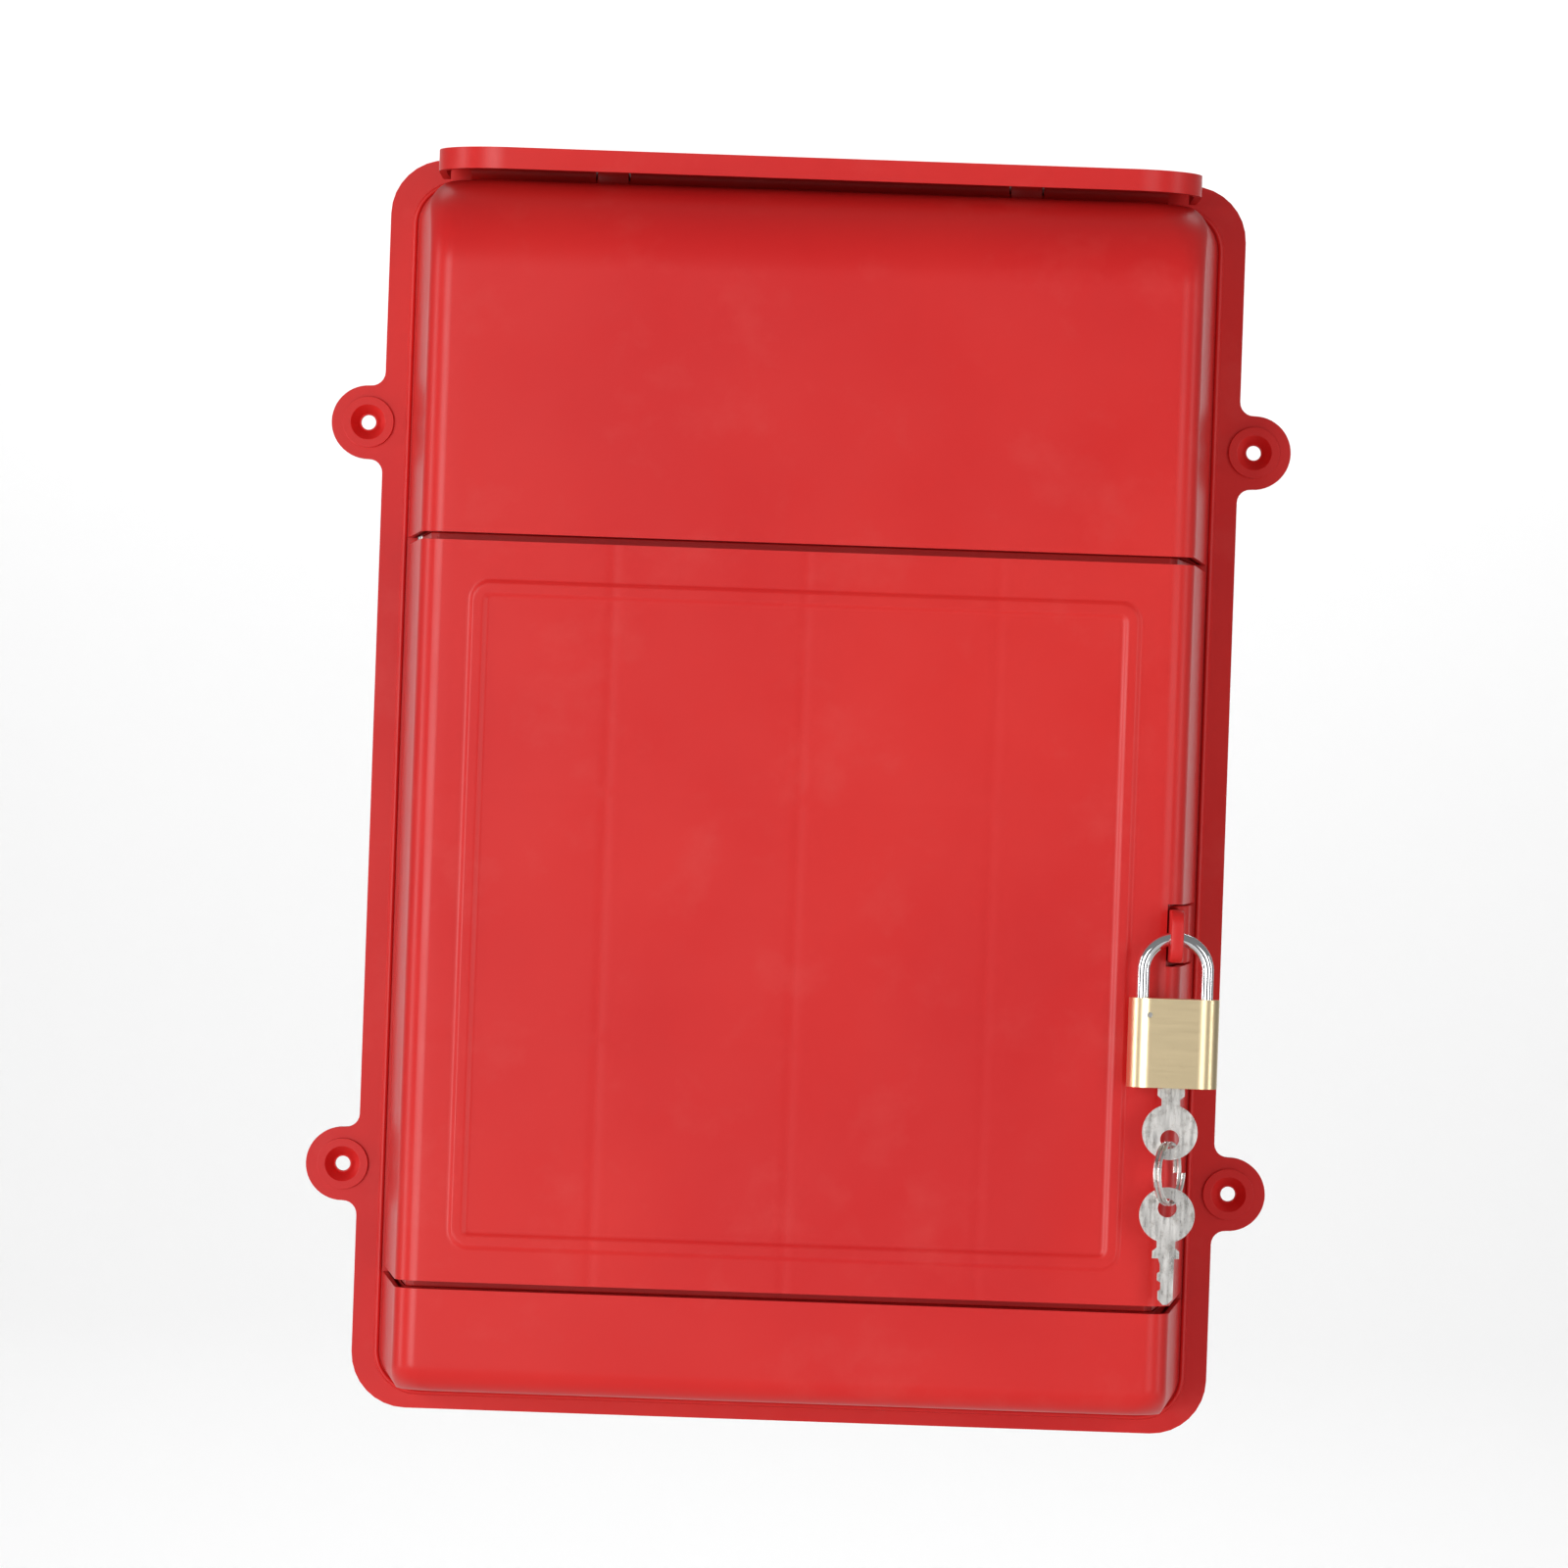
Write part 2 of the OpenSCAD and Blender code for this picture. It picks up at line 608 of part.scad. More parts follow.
module padlock_shackle() color(steel) at_lock() {
    translate([0, 0, arch_z]) rotate([90, 0, 0]) rotate_extrude(angle = 180)
        translate([arch_r, 0]) circle(shackle_r);
    difference() {
        translate([arch_r, 0, case_top - toe_depth]) cylinder(h = arch_z - case_top + toe_depth, r = shackle_r);
        block([0, -shackle_r - 1, notch_bottom], [arch_r - shackle_r + notch_depth, shackle_r + 1, notch_top]);
    }
    translate([-arch_r, 0, 0]) {
        translate([0, 0, groove_top]) cylinder(h = arch_z - groove_top, r = shackle_r);
        translate([0, 0, groove_bottom]) cylinder(h = groove_top - groove_bottom, r = groove_r);
        translate([0, 0, heel_end]) cylinder(h = groove_bottom - heel_end, r = shackle_r);
    }
}

module shackle_retainer() color(steel) translate([retainer_x, padlock_y, retainer_z])
    rod_y(-case_t / 2 + 0.4, case_t / 2 - 0.4, retainer_r);

// Tube along a helix about Z, made as one closed mesh
module coil(r, wire, length, turns) {
    steps = 12;
    sides = 8;
    n = steps * turns;
    pts = [for (i = [0 : n], j = [0 : sides - 1]) let (a = 360 * i / steps, b = 360 * j / sides,
        d = r + wire * cos(b)) [d * cos(a), d * sin(a), length * i / n + wire * sin(b)]];
    skin = [for (i = [0 : n - 1], j = [0 : sides - 1]) let (k = (j + 1) % sides)
        [i * sides + j, i * sides + k, (i + 1) * sides + k, (i + 1) * sides + j]];
    polyhedron(pts, concat([for (f = skin) [f[3], f[2], f[1], f[0]]],
        [[for (j = [0 : sides - 1]) j], [for (j = [sides - 1 : -1 : 0]) n * sides + j]]));
}

module shackle_spring() color(steel)
    translate([heel_x, padlock_y, heel_end - spring_bay + 0.5]) coil(1.3, 0.3, spring_bay - 1, 6);

module lock_plug() color(brass) at_lock() difference() {
    union() {
        translate([0, 0, case_bottom]) cylinder(h = plug_l, r = plug_r);
        translate([cam_e, 0, plug_top - eps]) cylinder(h = cam_top - plug_top, r = cam_r);
    }
    block([-blade_w / 2 - 0.15, -keyway_t / 2, case_bottom - 1],
        [blade_w / 2 + 0.15, keyway_t / 2, case_bottom + blade_l]);
    for (i = [0 : 3]) translate([0, 0, stack_first + i * stack_pitch]) rod_x(0, case_w, stack_r + 0.05);
    translate([0, 0, plug_pin_z]) difference() {
        translate([0, 0, -plug_pin_r - 0.1]) cylinder(h = 2 * plug_pin_r + 0.2, r = plug_r + 1);
        translate([0, 0, -2]) cylinder(h = 4, r = plug_r - 0.7);
    }
}

module plug_retainer() color(brass) at_lock() translate([0, 0, plug_pin_z])
    rod_y(plug_r - 0.6, case_t / 2 - 0.1, plug_pin_r);

module lock_bolt() color(brass) at_lock() {
    left = bolt_left - staple_x;
    leg = cam_slot + 1;
    block([left, -0.9, finger_top - finger_h], [arch_r - shackle_r + bolt_bite, 0.9, finger_top]);
    block([cam_e - leg, -bolt_y, finger_top - finger_h - 1], [cam_e + leg, bolt_y, finger_top - eps]);
    for (s = [-1, 1]) translate([cam_e + s * (cam_slot + 0.5), 0, 0])
        block([-0.5, -bolt_y, plug_top + 0.2], [0.5, bolt_y, finger_top - finger_h]);
}

module bolt_spring() color(steel)
    translate([bay_left + 0.3, padlock_y, finger_top - finger_h / 2 - 0.3]) rotate([0, 90, 0])
        coil(0.75, 0.18, bolt_left - bay_left - 0.6, 5);

function pin_foot(i) = blade_w / 2 - cuts[i];

module key_pins() color(brass) at_lock() for (i = [0 : 3])
    translate([0, 0, stack_first + i * stack_pitch]) rod_x(pin_foot(i) + 0.05, plug_r - 0.15, stack_r);

module driver_pins() color(steel) at_lock() for (i = [0 : 3])
    translate([0, 0, stack_first + i * stack_pitch]) rod_x(plug_bore_r + 0.05, plug_bore_r + driver_l, stack_r);

module pin_springs() color(steel) at_lock() for (i = [0 : 3])
    translate([0, 0, stack_first + i * stack_pitch]) difference() {
        rod_x(plug_bore_r + driver_l + 0.1, chamber_end - 0.1, stack_r - 0.1);
        rod_x(0, case_w, stack_r - 0.35);
    }

module chamber_plugs() color(brass) at_lock() intersection() {
    for (i = [0 : 3]) translate([0, 0, stack_first + i * stack_pitch])
        rod_x(chamber_end, case_w / 2, stack_r + 0.05);
    translate([0, 0, case_bottom]) linear_extrude(case_h) case_section(case_w, case_t);
}

// Key outline in its own plane: the bow's middle at the origin, the blade towards +Y
module key_outline() {
    half = blade_w / 2;
    difference() {
        union() {
            circle(bow_r);
            polygon([[-2.6, 0], [2.6, 0], [2.6, shoulder_off - 3], [shoulder_w / 2, shoulder_off - 2],
                [shoulder_w / 2, shoulder_off], [-shoulder_w / 2, shoulder_off],
                [-shoulder_w / 2, shoulder_off - 2], [-2.6, shoulder_off - 3]]);
            translate([0, shoulder_off]) polygon(blade_points(half));
        }
        translate([0, -bow_hole_off]) circle(bow_hole_r);
    }
}

// Blade with one flat-bottomed cut at each pin, and a blunt point
function blade_points(half) =
    let (first = stack_first - shoulder_z)
    concat([[-half, -1], [half, -1]],
        [for (i = [0 : 3], s = [-1, 1]) [half - cuts[i], first + i * stack_pitch + s * 0.95]],
        [[half - 0.6, blade_l - 1.4], [0.4, blade_l], [-0.8, blade_l], [-half, blade_l - 1.6]]);

module key_body() rotate([90, 0, 0]) linear_extrude(key_t, center = true) key_outline();

module lock_key() color(nickel) translate([staple_x, padlock_y, bow_z]) key_body();

module spare_key() color(nickel) translate([staple_x, padlock_y, spare_bow_z])
    rotate([0, 180, 0]) key_body();

// Split ring: two turns of wire side by side
module key_ring() color(steel) translate([staple_x, padlock_y, ring_z]) rotate([0, 0, -ring_turn])
    rotate([0, 90, 0]) ring_coil();

module ring_coil() {
    steps = 30;
    sides = 8;
    n = 2 * steps;
    rise = 2 * ring_wire_r + 0.06;
    pts = [for (i = [0 : n], j = [0 : sides - 1]) let (a = 360 * i / steps + 90, b = 360 * j / sides,
        d = ring_r + ring_wire_r * cos(b), z = rise * (i / steps - 1))
        [d * cos(a), d * sin(a), z + ring_wire_r * sin(b)]];
    skin = [for (i = [0 : n - 1], j = [0 : sides - 1]) let (k = (j + 1) % sides)
        [(i + 1) * sides + j, (i + 1) * sides + k, i * sides + k, i * sides + j]];
    polyhedron(pts, concat(skin, [[for (j = [0 : sides - 1]) j],
        [for (j = [sides - 1 : -1 : 0]) n * sides + j]]));
}

back_panel();
front_shell();
door();
top_lid();
lid_hinge_pin();
door_pin(door_top - pin_depth + 0.5);  // door_pin_upper
door_pin(base_z - pin_depth + 0.5);  // door_pin_lower
body_screws();
padlock_case();
padlock_shackle();
shackle_retainer();
shackle_spring();
lock_plug();
plug_retainer();
lock_bolt();
bolt_spring();
key_pins();
driver_pins();
pin_springs();
chamber_plugs();
lock_key();
key_ring();
spare_key();
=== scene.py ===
import bpy
import bmesh
import json
import math
import numpy as np
from mathutils import Matrix, Vector

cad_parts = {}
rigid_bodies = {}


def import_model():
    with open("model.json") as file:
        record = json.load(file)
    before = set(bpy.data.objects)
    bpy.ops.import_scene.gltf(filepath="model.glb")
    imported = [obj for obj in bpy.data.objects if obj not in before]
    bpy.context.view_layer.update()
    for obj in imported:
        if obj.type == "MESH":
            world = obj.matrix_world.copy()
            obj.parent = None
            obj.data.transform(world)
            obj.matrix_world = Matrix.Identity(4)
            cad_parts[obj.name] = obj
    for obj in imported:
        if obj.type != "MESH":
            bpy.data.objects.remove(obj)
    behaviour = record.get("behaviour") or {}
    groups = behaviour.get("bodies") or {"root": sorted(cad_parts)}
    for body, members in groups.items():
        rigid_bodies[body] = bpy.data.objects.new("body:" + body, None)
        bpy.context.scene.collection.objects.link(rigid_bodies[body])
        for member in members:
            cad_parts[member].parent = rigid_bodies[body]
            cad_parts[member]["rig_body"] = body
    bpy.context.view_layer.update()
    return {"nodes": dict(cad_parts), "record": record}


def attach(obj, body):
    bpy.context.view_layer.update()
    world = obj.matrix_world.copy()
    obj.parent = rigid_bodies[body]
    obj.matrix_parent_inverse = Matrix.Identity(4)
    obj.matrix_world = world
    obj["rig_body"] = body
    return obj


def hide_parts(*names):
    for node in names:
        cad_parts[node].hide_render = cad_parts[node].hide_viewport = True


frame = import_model()
nodes = frame["nodes"]
print("frame loaded:", len(nodes), "CAD nodes")


def newMaterial(name, color, roughness, metallic=0.0, specular=0.5, coat=0.0, coatRoughness=0.1):
    # a Principled material whose plain values sit on the shader's own sockets
    mat = bpy.data.materials.new(name)
    mat.use_nodes = True
    tree = mat.node_tree
    shader = tree.nodes["Principled BSDF"]
    shader.inputs["Base Color"].default_value = (*color, 1)
    shader.inputs["Roughness"].default_value = roughness
    shader.inputs["Metallic"].default_value = metallic
    shader.inputs["Specular IOR Level"].default_value = specular
    shader.inputs["Coat Weight"].default_value = coat
    shader.inputs["Coat Roughness"].default_value = coatRoughness
    coords = tree.nodes.new("ShaderNodeTexCoord")
    return mat, tree, shader, coords.outputs["Object"]


def stretched(tree, coords, scale):
    # object coordinates scaled per axis, for grain that runs one way
    mapping = tree.nodes.new("ShaderNodeMapping")
    mapping.inputs["Scale"].default_value = scale
    tree.links.new(coords, mapping.inputs["Vector"])
    return mapping.outputs["Vector"]


def noise(tree, coords, scale, detail=3.0, roughness=0.5):
    node = tree.nodes.new("ShaderNodeTexNoise")
    node.inputs["Scale"].default_value = scale
    node.inputs["Detail"].default_value = detail
    node.inputs["Roughness"].default_value = roughness
    tree.links.new(coords, node.inputs["Vector"])
    return node.outputs["Fac"]


def remap(tree, value, fromMin, fromMax, toMin, toMax):
    node = tree.nodes.new("ShaderNodeMapRange")
    for name, number in zip(("From Min", "From Max", "To Min", "To Max"), (fromMin, fromMax, toMin, toMax)):
        node.inputs[name].default_value = number
    tree.links.new(value, node.inputs["Value"])
    return node.outputs["Result"]


def maths(tree, operation, a, b):
    node = tree.nodes.new("ShaderNodeMath")
    node.operation = operation
    for socket, item in zip(node.inputs, (a, b)):
        if isinstance(item, (int, float)):
            socket.default_value = item
        else:
            tree.links.new(item, socket)
    return node.outputs[0]


def mixColors(tree, factor, a, b):
    node = tree.nodes.new("ShaderNodeMix")
    node.data_type = "RGBA"
    tree.links.new(factor, node.inputs["Factor"])
    for name, item in (("A", a), ("B", b)):
        socket = [s for s in node.inputs if s.name == name and s.type == "RGBA"][0]
        if isinstance(item, tuple):
            socket.default_value = (*item, 1)
        else:
            tree.links.new(item, socket)
    return [s for s in node.outputs if s.type == "RGBA"][0]


def bumpFrom(tree, shader, height, strength, distance):
    node = tree.nodes.new("ShaderNodeBump")
    node.inputs["Strength"].default_value = strength
    node.inputs["Distance"].default_value = distance
    tree.links.new(height, node.inputs["Height"])
    tree.links.new(node.outputs["Normal"], shader.inputs["Normal"])


moulding = {
    "red": (0.66, 0.012, 0.012),        # body colour of the moulding
    "sunned": (0.72, 0.022, 0.018),     # where light has faded it a little
    "deep": (0.66, 0.016, 0.016),       # slightly darker flow areas
    "roughness": (0.33, 0.41),          # smooth to lightly handled
    "waviness": 0.00018,                # depth of the flow waves, metres
    "scuffs": 0.22,                     # how much dust and rub shows
}


def mouldedRed(name, settings):
    mat, tree, shader, coords = newMaterial(name, settings["red"], 0.3, specular=0.35)
    broad = noise(tree, coords, 9.0, 2.0)
    fine = noise(tree, coords, 420.0, 4.0, 0.6)
    tone = mixColors(tree, remap(tree, broad, 0.35, 0.65, 0.0, 1.0), settings["deep"], settings["sunned"])
    rubbed = remap(tree, noise(tree, coords, 45.0, 5.0, 0.6), 0.55, 0.75, 0.0, settings["scuffs"])
    color = mixColors(tree, rubbed, tone, (0.74, 0.08, 0.07))
    tree.links.new(color, shader.inputs["Base Color"])
    low, high = settings["roughness"]
    handled = noise(tree, coords, 35.0, 5.0, 0.65)
    tree.links.new(remap(tree, handled, 0.3, 0.75, low, high), shader.inputs["Roughness"])
    wave = noise(tree, coords, 22.0, 1.0)
    height = maths(tree, "ADD", wave, maths(tree, "MULTIPLY", fine, 0.008))
    bumpFrom(tree, shader, height, 1.0, settings["waviness"])
    return mat


brassCase = {
    "color": (0.90, 0.73, 0.45), "dark": (0.66, 0.47, 0.24),
    "roughness": (0.30, 0.35), "brushing": 0.0000015,
}


def brushedBrass(name, settings):
    mat, tree, shader, coords = newMaterial(name, settings["color"], 0.3, metallic=1.0)
    streaks = noise(tree, stretched(tree, coords, (60.0, 60.0, 4200.0)), 1.0, 4.0, 0.6)
    spots = remap(tree, noise(tree, coords, 260.0, 5.0, 0.7), 0.60, 0.78, 0.0, 0.3)
    color = mixColors(tree, spots, settings["color"], settings["dark"])
    tree.links.new(color, shader.inputs["Base Color"])
    low, high = settings["roughness"]
    tree.links.new(remap(tree, streaks, 0.3, 0.7, low, high), shader.inputs["Roughness"])
    bumpFrom(tree, shader, streaks, 0.5, settings["brushing"])
    return mat


brightShackle = {"color": (0.80, 0.81, 0.83), "roughness": (0.06, 0.16), "marks": 0.00001}


def platedSteel(name, settings):
    mat, tree, shader, coords = newMaterial(name, settings["color"], 0.1, metallic=1.0)
    low, high = settings["roughness"]
    wear = noise(tree, coords, 300.0, 5.0, 0.7)
    tree.links.new(remap(tree, wear, 0.4, 0.75, low, high), shader.inputs["Roughness"])
    bumpFrom(tree, shader, wear, 0.4, settings["marks"])
    return mat


keyMetal = {
    "color": (0.80, 0.78, 0.75), "tarnish": (0.46, 0.42, 0.38),
    "roughness": (0.24, 0.44), "marks": 0.00003,
}


def wornNickel(name, settings):
    mat, tree, shader, coords = newMaterial(name, settings["color"], 0.3, metallic=1.0)
    grime = remap(tree, noise(tree, coords, 380.0, 6.0, 0.7), 0.5, 0.68, 0.0, 0.8)
    color = mixColors(tree, grime, settings["color"], settings["tarnish"])
    tree.links.new(color, shader.inputs["Base Color"])
    low, high = settings["roughness"]
    scratches = noise(tree, stretched(tree, coords, (900.0, 60.0, 120.0)), 1.0, 4.0, 0.6)
    tree.links.new(remap(tree, scratches, 0.3, 0.7, low, high), shader.inputs["Roughness"])
    bumpFrom(tree, shader, scratches, 0.4, settings["marks"])
    return mat


zincSteel = {
    "color": (0.50, 0.50, 0.49), "tarnish": (0.34, 0.33, 0.31),
    "roughness": (0.28, 0.46), "marks": 0.00002,
}

redMoulding = mouldedRed("redMoulding", moulding)
brassFinish = brushedBrass("satinBrass", brassCase)
shackleFinish = platedSteel("brightPlating", brightShackle)
keyFinish = wornNickel("wornNickel", keyMetal)
steelFinish = wornNickel("zincPlate", zincSteel)

finishes = {
    "red_plastic": redMoulding, "brass": brassFinish, "chrome": shackleFinish,
    "nickel": keyFinish, "steel": steelFinish,
}
for part in frame["record"]["subparts"]:
    mesh = nodes[part["node"]].data
    mesh.materials.clear()
    mesh.materials.append(finishes[part["material_slot"]])
print("materials ready:", ", ".join(sorted(finishes)))


# the moulding's sizes, like all that follow, in millimetres
body = {
    "depth": 78.0, "foot": -4.0, "footHalf": 116.2, "frontHalf": 109.0,
    "top": 177.0, "bottom": -172.6, "wall": 2.4,
    "edge": 7.0, "outline": 11.0, "shoulder": 27.0, "lowEdge": 8.0, "underDrop": 5.0,
    "hoodFrom": 74.8, "baseFrom": -138.9,
}
slope = (body["footHalf"] - body["frontHalf"]) / (body["depth"] + body["foot"])


def halfAt(y):
    # half width of the tapered body at depth y, a straight line from foot to front
    return body["frontHalf"] + (y + body["depth"]) * slope


def cornerShrink(z):
    # how far the sides draw in near the top and the bottom, by a quarter circle of the outline's radius
    r = body["outline"]
    over = np.maximum(z - (body["top"] - r), (body["bottom"] + r) - z)
    return r - np.sqrt(np.maximum(r * r - np.clip(over, 0, r) ** 2, 0))


def planGrid(z, front, radius, rear, columns, sideSteps=10, cornerAngles=None):
    # one plan curve for each row: side line, corner arc tangent to it, front line, and the same mirrored
    lean = math.atan(slope)
    if cornerAngles is None:
        cornerAngles = np.linspace(lean, math.pi / 2, 10)[1:-1]
    shape = np.shape(z)
    given = (z, front, radius)
    z, front, radius = (np.broadcast_to(np.asarray(item, float), shape)[:, None] for item in given)
    centre = halfAt(front) - cornerShrink(z) + radius * slope - radius * math.hypot(1, slope)
    fraction = np.linspace(0, 1, sideSteps)[None, :]
    sideEnd = front + radius - radius * math.sin(lean)

    def side(rearAt):
        y = rearAt + (sideEnd - rearAt) * fraction
        return halfAt(y) - cornerShrink(z), y

    arcX = centre + radius * np.cos(cornerAngles)[None, :]
    arcY = front + radius - radius * np.sin(cornerAngles)[None, :]
    leftX, leftY = side(rear[0])
    rightX, rightY = side(rear[1])
    across = columns[None, :] * centre
    x = np.hstack([-leftX, -arcX, across, arcX[:, ::-1], rightX[:, ::-1]])
    y = np.hstack([leftY, arcY, front + 0 * across, arcY[:, ::-1], rightY[:, ::-1]])
    return np.stack([x, y, np.broadcast_to(z, x.shape)], axis=-1)


def gridFaces(rows, columns):
    k = (np.arange(rows - 1)[:, None] * columns + np.arange(columns - 1)[None, :])
    return np.stack([k, k + 1, k + 1 + columns, k + columns], axis=-1)


def meshPiece(name, points, faces, bodyName, node, slot="red_plastic"):
    mesh = bpy.data.meshes.new(name)
    places = np.asarray(points).reshape(-1, 3) * 0.001
    mesh.from_pydata(places.tolist(), [], np.asarray(faces).reshape(-1, 4).tolist())
    mesh.materials.append(finishes[slot])
    mesh.polygons.foreach_set("use_smooth", np.ones(len(mesh.polygons), bool))
    obj = bpy.data.objects.new(name, mesh)
    bpy.context.scene.collection.objects.link(obj)
    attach(obj, bodyName)
    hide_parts(node)
    return obj


def roundEdges(obj, radius, segments=2, angle=38):
    bevel = obj.modifiers.new("edges", "BEVEL")
    bevel.width = radius * 0.001
    bevel.segments = segments
    bevel.limit_method = "ANGLE"
    bevel.angle_limit = math.radians(angle)
    weighted = obj.modifiers.new("shading", "WEIGHTED_NORMAL")
    weighted.weight = 90
    return obj


def walledSheet(name, points, keep, thickness, edge, bodyName, node):
    # an outer skin on a grid, less the faces not kept, given its wall on the inner side
    rows, columns = points.shape[:2]
    faces = gridFaces(rows, columns)[keep]
    obj = meshPiece(name, points, faces, bodyName, node)
    tidy = bmesh.new()
    tidy.from_mesh(obj.data)
    bmesh.ops.delete(tidy, geom=[v for v in tidy.verts if not v.link_faces], context="VERTS")
    tidy.to_mesh(obj.data)
    tidy.free()
    solid = obj.modifiers.new("wall", "SOLIDIFY")
    solid.thickness = thickness * 0.001
    solid.offset = -1
    return roundEdges(obj, edge)


def flatPlate(name, outline, holes, thickness, edge, place, bodyName, node, slot="red_plastic"):
    # a filled outline with holes, made thick with rounded rims, then turned to its place
    curve = bpy.data.curves.new(name, "CURVE")
    curve.dimensions = "2D"
    curve.fill_mode = "BOTH"
    curve.extrude = (thickness / 2 - edge) * 0.001
    curve.bevel_depth = edge * 0.001
    curve.bevel_resolution = 2
    curve.offset = -edge * 0.001
    for ring in [outline] + holes:
        spline = curve.splines.new("POLY")
        spline.points.add(len(ring) - 1)
        flat = np.column_stack([np.asarray(ring) * 0.001, np.zeros(len(ring)), np.ones(len(ring))])
        spline.points.foreach_set("co", flat.ravel())
        spline.use_cyclic_u = True
    maker = bpy.data.objects.new(name + "Curve", curve)
    bpy.context.scene.collection.objects.link(maker)
    bpy.context.view_layer.update()
    mesh = bpy.data.meshes.new_from_object(maker.evaluated_get(bpy.context.evaluated_depsgraph_get()))
    bpy.data.objects.remove(maker)
    mesh.transform(place)
    shape = bmesh.new()
    shape.from_mesh(mesh)
    bmesh.ops.remove_doubles(shape, verts=shape.verts, dist=0.000005)
    bmesh.ops.recalc_face_normals(shape, faces=shape.faces)
    shape.to_mesh(mesh)
    shape.free()
    mesh.name = name
    mesh.materials.clear()
    mesh.materials.append(finishes[slot])
    obj = bpy.data.objects.new(name, mesh)
    bpy.context.scene.collection.objects.link(obj)
    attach(obj, bodyName)
    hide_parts(node)
    return obj


def circle(x, y, r, n=32):
    a = np.linspace(0, 2 * math.pi, n, endpoint=False)
    return np.column_stack([x + r * np.cos(a), y + r * np.sin(a)])


def roundRect(x0, y0, x1, y1, r, n=8):
    # corner arcs in turn, from the upper right round to the lower right
    turns = [np.linspace(q, q + math.pi / 2, n) for q in (0, math.pi / 2, math.pi, 1.5 * math.pi)]
    centres = [(x1 - r, y1 - r), (x0 + r, y1 - r), (x0 + r, y0 + r), (x1 - r, y0 + r)]
    corners = zip(turns, centres)
    return np.vstack([np.column_stack([cx + r * np.cos(t), cy + r * np.sin(t)]) for t, (cx, cy) in corners])


# onSide turns a plate's x to y, its y to z and its thickness to x; onFront its y to z and its thickness to y
onSide = Matrix(((0, 0, 1, 0), (1, 0, 0, 0), (0, 1, 0, 0), (0, 0, 0, 1)))
onFront = Matrix(((1, 0, 0, 0), (0, 0, -1, 0), (0, 1, 0, 0), (0, 0, 0, 1)))


def at(x, y, z, turn):
    # a turned place, given in millimetres
    return Matrix.Translation(Vector((x, y, z)) * 0.001) @ turn


hood = {
    "cornerGrowth": 9.0, "crown": 0.8, "edge": 0.5,
    "letterHalf": 94.0, "letterFront": -50.0, "letterRear": -24.0,
}


def hoodSkin(settings):
    # rows climb the front, go round the shoulder by a quarter circle, and run back over the top,
    # which rises a little to the rear so that the rows' sides draw in one after another
    b = body
    t = np.linspace(0, math.pi / 2, 22)[1:]
    upZ = np.array([b["hoodFrom"], 77, 82, 95, 110, 125, 138, 146, b["top"] - b["shoulder"]])
    arcZ = b["top"] - b["shoulder"] + (b["shoulder"] - settings["crown"]) * np.sin(t)
    arcY = -b["depth"] + b["shoulder"] * (1 - np.cos(t))
    backY = np.array([settings["letterFront"], -37.0, settings["letterRear"], -16.0, -9.0, -5.0])
    backZ = b["top"] - settings["crown"] * np.linspace(1, 0, len(backY) + 1)[1:]
    z = np.concatenate([upZ, arcZ, backZ])
    front = np.concatenate([np.full(len(upZ), -b["depth"]), arcY, backY])
    radius = np.concatenate([np.full(len(upZ), b["edge"]),
                             b["edge"] + settings["cornerGrowth"] * np.sin(t) ** 2,
                             np.minimum(b["edge"] + settings["cornerGrowth"], (-4.2 - backY) * 0.9)])
    reach = settings["letterHalf"] / (halfAt(-37.0) - b["outline"] - 15.0)
    inner = np.linspace(-1, 1, 41)
    columns = inner
    if reach < 1:
        apart = np.abs(np.abs(inner) - reach) > 0.02
        columns = np.sort(np.concatenate([inner[apart], [-reach, reach]]))
    points = planGrid(z, front, radius, (b["foot"], b["foot"]), columns)
    keep = np.ones((points.shape[0] - 1, points.shape[1] - 1), bool)
    middle = (points[:-1, :-1] + points[1:, 1:]) / 2
    onTop = middle[..., 2] > b["top"] - settings["crown"] - 0.01
    inDepth = (middle[..., 1] > settings["letterFront"]) & (middle[..., 1] < settings["letterRear"])
    inWidth = np.abs(middle[..., 0]) < settings["letterHalf"]
    keep[onTop & inDepth & inWidth] = False
    return walledSheet("hoodSkin", points, keep, b["wall"], settings["edge"], "box", "front_shell")


def baseSkin(settings):
    # rows go down the front, round the lower edge by an arc, and back along the sloping underside
    b = body
    tilt = math.atan(b["underDrop"] / (b["depth"] + b["foot"]))
    r = b["lowEdge"]
    low = b["bottom"] + b["underDrop"]
    t = np.linspace(0, math.pi / 2 - tilt, 14)[1:]
    centreZ = low + r - r * math.sin(tilt)
    downZ = np.array([b["baseFrom"], -141, -146, -152, -157, centreZ])
    arcZ = centreZ - r * np.sin(t)
    arcY = -b["depth"] + r - r * np.cos(t)
    backY = np.linspace(arcY[-1], -4.6, 9)[1:]
    backZ = arcZ[-1] + (b["bottom"] - arcZ[-1]) * (backY - arcY[-1]) / (b["foot"] - arcY[-1])
    z = np.concatenate([downZ, arcZ, backZ])
    front = np.concatenate([np.full(len(downZ), -b["depth"]), arcY, backY])
    growth = np.concatenate([np.zeros(len(downZ)), np.sin(t) ** 2, np.ones(len(backY))]) * 4.0
    radius = np.minimum(b["edge"] + growth, (-4.2 - front) * 0.9)
    points = planGrid(z, front, radius, (b["foot"], b["foot"]), np.linspace(-1, 1, 41))[::-1]
    keep = np.ones((points.shape[0] - 1, points.shape[1] - 1), bool)
    return walledSheet("baseSkin", points, keep, b["wall"], settings["edge"], "box", "front_shell")


hoodSkin(hood)
baseSkin(hood)
print("hood and base made")


